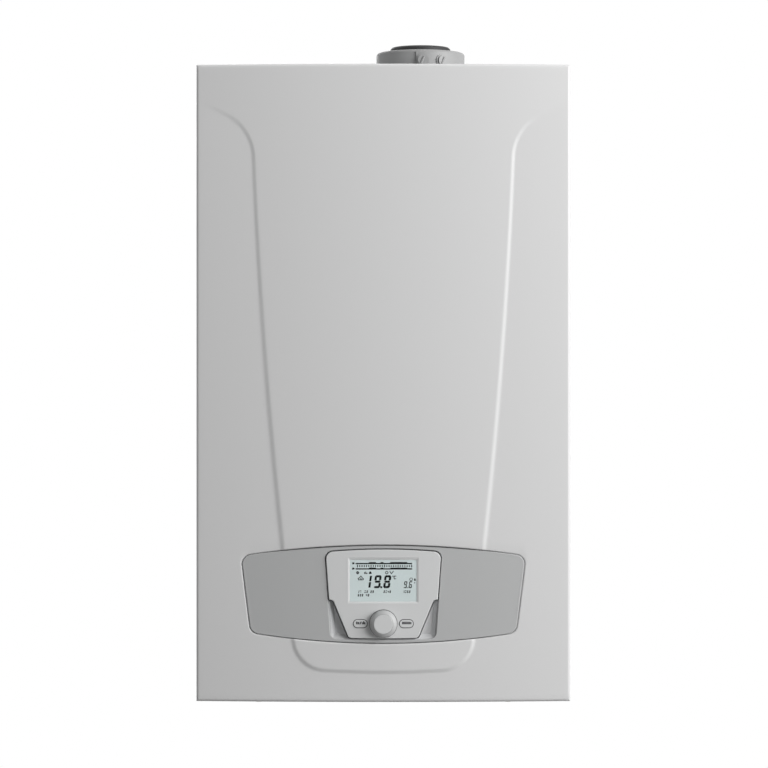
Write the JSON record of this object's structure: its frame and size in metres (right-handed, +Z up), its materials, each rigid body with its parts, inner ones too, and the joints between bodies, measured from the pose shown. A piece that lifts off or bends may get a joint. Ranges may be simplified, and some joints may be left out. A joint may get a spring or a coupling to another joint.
{
  "type": "wall-hung condensing gas boiler",
  "caption": "Wall-hung condensing gas boiler with an embossed pull-off front, a control strip with removable control unit, a coaxial flue collar and pipe stubs below.",
  "frame": {"origin": "on the wall plane, under the middle of the cabinet, level with the cabinet's lower edge", "axes": "+Z up, +Y into the wall, the front faces -Y"},
  "size_m": [0.45, 0.3561, 0.8096],
  "materials": {
    "white_coat": "satin powder coat",
    "galvanised": "galvanised sheet",
    "zinc": "zinc plated",
    "silver_plastic": "silver moulded",
    "light_grey_plastic": "fine satin",
    "dark_tray": "satin",
    "box_grey": "textured",
    "clear_cover": "clear",
    "display_face": "reflective display",
    "circuit_board": "solder mask",
    "collar_grey": "moulded",
    "black_rubber": "matt",
    "grey_hose": "matt",
    "flue_plastic": "extruded",
    "composite_drum": "glass-filled moulding",
    "stainless": "brushed",
    "cast_alloy": "die cast",
    "ceramic": "glazed",
    "dark_can": "satin",
    "rotor_steel": "turned",
    "copper": "drawn copper tube",
    "brass": "machined",
    "black_composite": "glass-filled moulding",
    "actuator_white": "moulded",
    "trap_white": "moulded",
    "red_coat": "gloss enamel",
    "tap_blue": "moulded"
  },
  "bodies": {
    "cabinet": {"air_mixer": "cast_alloy", "air_vent": "brass", "bottom_plate": "galvanised", "burner_door": "cast_alloy", "burner_tube": "stainless", "cable_gland": "black_composite", "condensate_hose": "grey_hose", "condensate_trap": "trap_white", "connection_stubs": "brass", "control_box": "box_grey", "control_box_lid": "box_grey", "control_fascia": "silver_plastic", "diverter_actuator": "actuator_white", "dock_tray": "dark_tray", "door_nuts": "zinc", "exchanger_coil": "stainless", "exchanger_shell": "composite_drum", "expansion_vessel": "red_coat", "fan_housing": "cast_alloy", "fan_motor": "dark_can", "flow_group": "black_composite", "flow_pipe": "copper", "flue_collar": "collar_grey", "flue_duct": "flue_plastic", "flue_screws": "zinc", "flue_seal": "black_rubber", "gas_inlet_pipe": "copper", "gas_supply_tube": "copper", "gas_valve": "cast_alloy", "ignition_electrodes": "ceramic", "left_side_panel": "white_coat", "main_board": "circuit_board", "mixture_duct": "cast_alloy", "plate_exchanger": "stainless", "pump_body": "black_composite", "pump_motor": "dark_can", "rear_frame": "galvanised", "return_group": "black_composite", "return_pipe": "copper", "right_side_panel": "white_coat", "safety_valve": "brass", "test_point_caps": "collar_grey", "top_plate": "galvanised", "vessel_tube": "copper", "wall_bracket": "galvanised"},
    "front_cover": {"front_casing": "white_coat", "casing_screws": "zinc"},
    "control_unit": {"unit_front_shell": "light_grey_plastic", "unit_rear_shell": "light_grey_plastic", "display_window": "clear_cover", "display_panel": "display_face", "unit_board": "circuit_board"},
    "knob_carrier": {"knob_plunger": "light_grey_plastic"},
    "knob": {"control_knob": "light_grey_plastic"},
    "left_key": {"left_button": "light_grey_plastic"},
    "right_key": {"right_button": "light_grey_plastic"},
    "fan_wheel": {"fan_impeller": "cast_alloy"},
    "pump_wheel": {"pump_rotor": "rotor_steel"},
    "diverter": {"diverter_stem": "rotor_steel"},
    "tap": {"filling_tap": "tap_blue"}
  },
  "joints": [
    {"name": "casing_pull_off", "type": "slide", "parent": "cabinet", "child": "front_cover", "axis": [0, -1, 0], "range_m": [0, 0.4]},
    {"name": "unit_pull_out", "type": "slide", "parent": "cabinet", "child": "control_unit", "axis": [0, -1, 0], "range_m": [0, 0.06]},
    {"name": "knob_press", "type": "slide", "parent": "control_unit", "child": "knob_carrier", "axis": [0, 1, 0], "range_m": [0, 0.0008], "stiffness_N_per_m": 2500},
    {"name": "knob_turn", "type": "hinge", "parent": "knob_carrier", "child": "knob", "pos_m": [0, -0.35, 0.0945], "axis": [0, -1, 0], "continuous": true},
    {"name": "left_key_press", "type": "slide", "parent": "control_unit", "child": "left_key", "axis": [0, 1, 0], "range_m": [0, 0.0006], "stiffness_N_per_m": 2500},
    {"name": "right_key_press", "type": "slide", "parent": "control_unit", "child": "right_key", "axis": [0, 1, 0], "range_m": [0, 0.0006], "stiffness_N_per_m": 2500},
    {"name": "fan_spin", "type": "hinge", "parent": "cabinet", "child": "fan_wheel", "pos_m": [-0.003, -0.26, 0.285], "axis": [0, 1, 0], "continuous": true},
    {"name": "pump_spin", "type": "hinge", "parent": "cabinet", "child": "pump_wheel", "pos_m": [0.128, -0.15, 0.166], "axis": [0, 1, 0], "continuous": true},
    {"name": "diverter_stroke", "type": "slide", "parent": "cabinet", "child": "diverter", "axis": [0, 0, 1], "range_m": [0, 0.008]},
    {"name": "filling_tap_turn", "type": "hinge", "parent": "cabinet", "child": "tap", "pos_m": [0.098, -0.146, 0.02], "axis": [0, 0, 1], "range_deg": [0, 90]}
  ]
}
